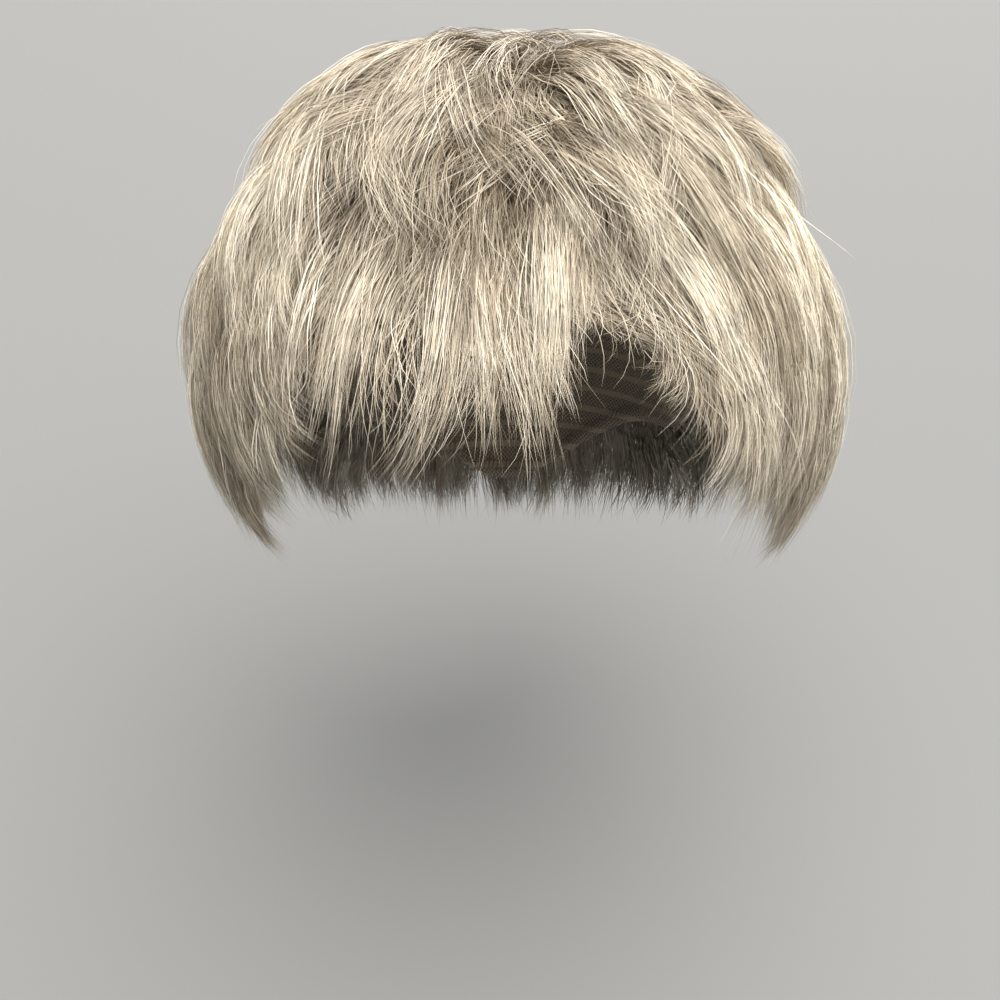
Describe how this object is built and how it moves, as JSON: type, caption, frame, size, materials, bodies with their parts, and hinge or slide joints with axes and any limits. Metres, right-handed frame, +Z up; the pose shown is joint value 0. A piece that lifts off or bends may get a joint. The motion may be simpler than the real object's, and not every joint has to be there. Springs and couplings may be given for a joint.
{
  "type": "full wig",
  "caption": "Short layered ash-blonde full wig: a close-fitting open cap covered in overlapping locks, with a piecey fringe and the front swept to one side.",
  "frame": {"origin": "inside the cap at its top, where it rests on the crown of the head", "axes": "+Z up, -Y towards the face, +X to the right of someone who faces the wig"},
  "size_m": [0.2151, 0.2218, 0.2023],
  "materials": {
    "hair": "fine synthetic fibre, satin, ash blonde with darker roots",
    "cap": "matt stretch knit with a bound edge"
  },
  "bodies": {
    "root": {"cap": "cap", "hair_crown": "hair", "hair_fringe": "hair", "hair_side_left": "hair", "hair_side_right": "hair", "hair_back": "hair", "hair_nape": "hair"}
  },
  "joints": []
}
